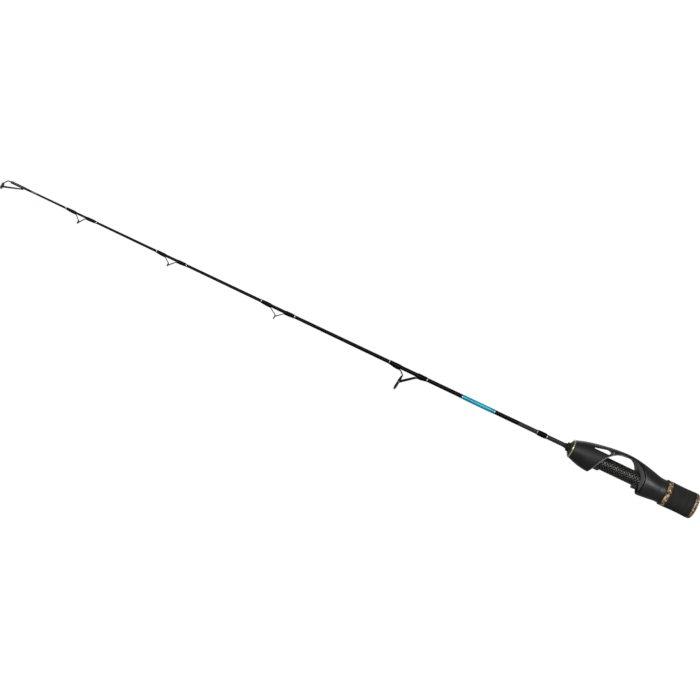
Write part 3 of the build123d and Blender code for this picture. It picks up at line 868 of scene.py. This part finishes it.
# ---- reel seat shell -------------------------------------------------------------------------------
def rim_points(work):
    """Points along the sharp rims of the arch under the bridge: those of its rear and of its front."""
    arch_rear = pad_rear - 6 * MM
    arch_front = pad_front + 6 * MM
    crown_x = (arch_rear + arch_front) / 2 - 2 * MM
    slot_x = crown_x + 14.5 * MM
    slot_z = core_r + 2 * MM
    over_core = core_r + MM
    channel_y = core_r + 0.2 * MM
    sharp = 0.6  # least angle between two faces at a rim
    spacing = 0.3 * MM
    rear, front = [], []
    for edge in work.edges:
        if len(edge.link_faces) != 2 or edge.calc_face_angle() < sharp:
            continue
        a, b = edge.verts[0].co, edge.verts[1].co
        middle = (a + b) / 2
        on_core = math.hypot(middle.y, middle.z) < over_core
        in_slot = middle.x > slot_x and middle.z > slot_z
        in_channel = middle.z < 0 and abs(middle.y) < channel_y
        if not arch_rear < middle.x < arch_front or on_core or in_slot or in_channel:
            continue
        count = max(1, math.ceil((b - a).length / spacing))
        side = rear if middle.x < crown_x else front
        side.extend(a.lerp(b, k / count) for k in range(count + 1))
    return rear, front


def nearest(points):
    """A search tree over points."""
    tree = kdtree.KDTree(len(points))
    for i, point in enumerate(points):
        tree.insert(point, i)
    tree.balance()
    return tree


def softened(piece):
    """Rebuild a piece's mesh as an even grid with its edges softened."""
    remesh = piece.modifiers.new("grid", "REMESH")
    remesh.mode = "VOXEL"
    remesh.voxel_size = 0.32 * MM
    remesh.use_smooth_shade = True
    relax = piece.modifiers.new("soften", "SMOOTH")
    relax.factor = 0.5
    relax.iterations = 2
    depsgraph = bpy.context.evaluated_depsgraph_get()
    mesh = bpy.data.meshes.new_from_object(piece.evaluated_get(depsgraph))
    piece.modifiers.clear()
    piece.data = mesh
    mesh.polygons.foreach_set("use_smooth", [True] * len(mesh.polygons))


def cut_rims(mesh, rear_rim, front_rim):
    """Sink the groove behind the arch's rear rim, and give each point its rim value: over 0 for a painted
    highlight along the front rim and on the rear bevel, under 0 for painted shade in the groove."""
    reach = 6 * MM
    groove_at, groove_half, groove_depth = 1.4 * MM, 0.55 * MM, 0.5 * MM
    groove_shade = 0.8
    highlight_line_half = 0.85 * MM
    bevel_painted_highlight = 0.3
    facing_out = 0.6
    facing_front = 0.1
    low_x = min(p.x for p in rear_rim) - reach
    high_x = max(p.x for p in front_rim) + reach
    rear_tree, front_tree = nearest(rear_rim), nearest(front_rim)
    count = len(mesh.vertices)
    places = np.zeros(count * 3)
    normals = np.zeros(count * 3)
    mesh.vertices.foreach_get("co", places)
    mesh.vertices.foreach_get("normal", normals)
    places = places.reshape(-1, 3)
    normals = normals.reshape(-1, 3)
    rim_light_and_shade = np.zeros(count)
    for i in np.nonzero((places[:, 0] > low_x) & (places[:, 0] < high_x))[0]:
        place, normal = Vector(places[i]), Vector(normals[i])
        outward = Vector((0, place.y, place.z)).normalized().dot(normal)
        to_rear = rear_tree.find(place)[2]
        to_front = front_tree.find(place)[2]
        # outside the arch: a painted highlight line along the front rim, and painted shade in the sunk
        # groove
        if outward > facing_out:
            dip = bell(to_rear - groove_at, groove_half)
            places[i] -= normals[i] * groove_depth * dip
            rim_light_and_shade[i] = bell(to_front, highlight_line_half) - groove_shade * dip
        # on the rear wall facing the tip: the bevel painted paler, a painted highlight that fades away
        # from the rim
        elif to_rear < reach and normal.x > facing_front:
            rim_light_and_shade[i] = bevel_painted_highlight * (1 - smooth_step(to_rear, 0.6 * reach, reach))
        # on the front rim's own faces: the same painted highlight line
        elif to_front < 3 * highlight_line_half:
            rim_light_and_shade[i] = bell(to_front, highlight_line_half)
    mesh.vertices.foreach_set("co", places.ravel())
    mesh.update()
    set_attribute(mesh, "rim", rim_light_and_shade)


def make_shell():
    """The moulded shell: edges softened, a groove sunk behind the arch's rear rim, and painted highlights
    and painted shade along the arch's rims.
    """
    mesh = nodes["seat_shell"].data.copy()
    work = bmesh.new()
    work.from_mesh(mesh)
    bmesh.ops.remove_doubles(work, verts=work.verts, dist=0.002 * MM)
    rear_rim, front_rim = rim_points(work)
    work.to_mesh(mesh)
    work.free()
    mesh.materials.clear()
    piece = add_to_scene("seat_shell_moulding", mesh)
    softened(piece)
    cut_rims(piece.data, rear_rim, front_rim)
    finish_piece(piece, "rod", "seat_plastic", shell_material, "seat_shell")


# ---- grip barrel -----------------------------------------------------------------------------------
grip_r = top("front_cork_ring")
neck_bore = grip_r - 1.05 * MM
SEAM = 0.18 * MM  # broken edge where two of the grip's pieces meet
CORK_STEP = 0.3 * MM
CORK_AROUND = 260


def in_mm(x, r, angle):
    """A point on a turned piece, in millimetres."""
    return Vector((x / MM, r / MM * math.cos(angle), r / MM * math.sin(angle)))


def pitted(hole_r):
    """Pits in the outside of a ring whose hole stays plain."""
    skin = 0.05 * MM
    depth = 0.16 * MM
    wide, fine = 1.9, 4.1  # pits for each millimetre

    def shape(x, r, angle):
        if r <= hole_r:
            return r
        p = in_mm(x, r, angle)
        pit = noise.noise(p * wide) * 0.5 + noise.noise(p * fine) * 0.3
        return r - skin - max(0.0, pit) * depth

    return shape


def make_front_cork():
    """The cork ring that meets the shell, with a lead-in to the bore that slides over its neck."""
    rear, front = span("front_cork_ring")
    lip = 0.3 * MM
    corners = [
        (rear, neck_bore),
        (rear, grip_r - SEAM),
        (rear + SEAM, grip_r),
        (front - lip, grip_r),
        (front, grip_r - lip),
        (front, neck_bore + lip),
        (front - lip, neck_bore),
    ]
    outline = dense(rounded(corners, 0.12 * MM, 3), CORK_STEP)
    piece = turned("front_cork_sanded", outline, CORK_AROUND, pitted(neck_bore + lip))
    finish_piece(piece, "barrel", "cork", cork("cork", rear, front, 1.15 * MM), "front_cork_ring")


def make_rear_cork():
    """The cork ring at the butt, rounded over at its rear, with the plug's hole through it."""
    rear, front = span("rear_cork_ring")
    plug_r = 5.0 * MM
    edge = 2.6 * MM
    steps = 10
    arc = []
    for k in range(steps + 1):
        turned_by = math.pi / 2 * k / steps
        arc.append((rear + edge * (1 - math.cos(turned_by)), grip_r - edge * (1 - math.sin(turned_by))))
    rim = [(front - SEAM, grip_r), (front, grip_r - SEAM)]
    outline = dense([(front, plug_r), (rear, plug_r), *arc, *rim], CORK_STEP)
    piece = turned("rear_cork_sanded", outline, CORK_AROUND, pitted(plug_r))
    # its dark rear edge lies past the end, so only the front edge is dark
    material = cork("cork_rear", rear - 4 * MM, front, 1.0 * MM)
    finish_piece(piece, "barrel", "cork", material, "rear_cork_ring")


def make_foam():
    """The foam grip between the cork rings, a little slimmer at its waist."""
    rear, front = span("eva_grip")
    waist = 0.30 * MM
    taper = 0.1 * MM
    pore_depth = 0.03 * MM
    pores_per_mm = 2.2
    rings = 90
    shoulder = span("barrel_sleeve")[1]
    sleeve_r = top("barrel_sleeve")
    outline = [(shoulder, sleeve_r), (rear, sleeve_r), (rear, grip_r - SEAM)]
    for x in np.linspace(rear + SEAM, front - SEAM, rings):
        share = (x - rear) / (front - rear)
        outline.append((x, grip_r - waist * math.sin(math.pi * share) - taper * share))
    outline += [(front, grip_r - SEAM - taper), (front, neck_bore), (shoulder, neck_bore)]

    def porous(x, r, angle):
        if r <= neck_bore:
            return r
        return r - abs(noise.noise(in_mm(x, r, angle) * pores_per_mm)) * pore_depth

    piece = turned("foam_grip", outline, 240, porous)
    finish_piece(piece, "barrel", "eva_foam", foam_material, "eva_grip")


make_blank()
make_colour_band()
make_trims()
make_wraps()
make_tip_wrap()
make_winding_check()
make_nose_cone()
make_trim_ring()
make_core()
make_shell()
make_front_cork()
make_rear_cork()
make_foam()

# ---- CAD nodes that stay ---------------------------------------------------------------------------
kept = {
    steel_material: ["tip_tube", "tip_frame"] + [f"guide_{n}_frame" for n in GUIDES],
    ceramic_material: ["tip_ring"] + [f"guide_{n}_ring" for n in GUIDES],
    pad_material: ["front_foot_pad", "rear_foot_pad"],
    hood_material: ["sliding_hood"],
    brass_material: ["lock_nut"],
    aluminium_material: ["thread_sleeve"],
    inner_material: ["barrel_sleeve", "front_arbor", "middle_arbor", "rear_arbor"],
    plug_material: ["butt_plug"],
}
for material, names in kept.items():
    for name in names:
        mesh = nodes[name].data
        mesh.materials.clear()
        mesh.materials.append(material)

# ---- camera, floor and light -------------------------------------------------------------------------
low, high = cad_box
centre = (low + high) / 2


def make_camera():
    """The view from the +Y side, a little below the rod's axis, with the butt at the lower right."""
    tilt = math.radians(25.43)
    lift = math.radians(-4)
    distance = 1.595
    aim_share = 0.4954  # along the rod
    aim_z = -6.2 * MM
    target = Vector((low.x + (high.x - low.x) * aim_share, 0, aim_z))
    back = Vector((0, math.cos(lift), math.sin(lift)))
    rise = Vector((0, -math.sin(lift), math.cos(lift)))
    along = Vector((1, 0, 0))
    right = rise * math.sin(tilt) - along * math.cos(tilt)
    up = rise * math.cos(tilt) + along * math.sin(tilt)
    rows = zip(right, up, back, target + back * distance)
    camera = add_to_scene("camera", bpy.data.cameras.new("camera"))
    camera.matrix_world = Matrix([*rows, (0, 0, 0, 1)])
    camera.data.sensor_width = 36
    camera.data.lens = 82.3
    camera.data.clip_start = 0.05
    camera.data.clip_end = 50
    bpy.context.scene.camera = camera


def make_floor():
    """A pale floor far below the rod. It throws no light back up at the rod."""
    material = bpy.data.materials.new("floor")
    material.use_nodes = True
    surface = material.node_tree.nodes["Principled BSDF"]
    surface.inputs["Base Color"].default_value = (0.85, 0.85, 0.85, 1)
    surface.inputs["Roughness"].default_value = 0.9
    surface.inputs["Emission Color"].default_value = (1, 1, 1, 1)
    surface.inputs["Emission Strength"].default_value = 0.82
    half = 2.5
    z = low.z - 1.3
    corners = [(-half, -half, z), (half, -half, z), (half, half, z), (-half, half, z)]
    floor = new_piece("floor", corners, [(0, 1, 2, 3)])
    floor.data.materials.append(material)
    floor.visible_diffuse = False
    floor.visible_glossy = False


def softbox(name, place, aim, width, height, power):
    """A rectangular soft light at place, facing aim."""
    lamp = bpy.data.lights.new(name, "AREA")
    lamp.shape = "RECTANGLE"
    lamp.size = width
    lamp.size_y = height
    lamp.energy = power
    light = add_to_scene(name, lamp)
    light.location = place
    light.rotation_mode = "QUATERNION"
    light.rotation_quaternion = (Vector(place) - Vector(aim)).to_track_quat("Z", "Y")


def make_lights():
    """A long key light on the camera's side, a small one towards the tip and one from behind."""
    handle = (0.08, 0, 0)
    softbox("key", (centre.x - 0.1, 1.6, 0.30), centre, width=1.8, height=0.42, power=17)
    softbox("tip_side", (centre.x + 0.75, 0.9, 0.05), handle, width=0.5, height=0.5, power=7)
    softbox("back", (centre.x + 0.2, -1.2, 1.2), centre, width=1.4, height=0.6, power=8)


def make_world():
    """A sky that looks white all round, and lights the rod from behind more than from elsewhere."""
    white = 1.02
    dim = 0.18
    patch_edge, patch_core = math.radians(38), math.radians(22)
    world = bpy.data.worlds.new("studio")
    world.use_nodes = True
    tree = world.node_tree
    place = tree.nodes.new("ShaderNodeTexCoord")
    split = tree.nodes.new("ShaderNodeSeparateXYZ")
    brightness = tree.nodes.new("ShaderNodeMapRange")
    brightness.interpolation_type = "SMOOTHSTEP"
    brightness.inputs["From Min"].default_value = -math.cos(patch_edge)
    brightness.inputs["From Max"].default_value = -math.cos(patch_core)
    brightness.inputs["To Min"].default_value = dim
    brightness.inputs["To Max"].default_value = white
    rays = tree.nodes.new("ShaderNodeLightPath")
    seen = tree.nodes.new("ShaderNodeMix")
    seen.inputs["B"].default_value = white
    background = tree.nodes["Background"]
    background.inputs["Color"].default_value = (1, 1, 1, 1)
    tree.links.new(place.outputs["Generated"], split.inputs["Vector"])
    tree.links.new(split.outputs["Y"], brightness.inputs["Value"])
    tree.links.new(rays.outputs["Is Camera Ray"], seen.inputs["Factor"])
    tree.links.new(brightness.outputs["Result"], seen.inputs["A"])
    tree.links.new(seen.outputs["Result"], background.inputs["Strength"])
    bpy.context.scene.world = world


make_camera()
make_floor()
make_lights()
make_world()
bpy.context.scene.view_settings.view_transform = "Standard"
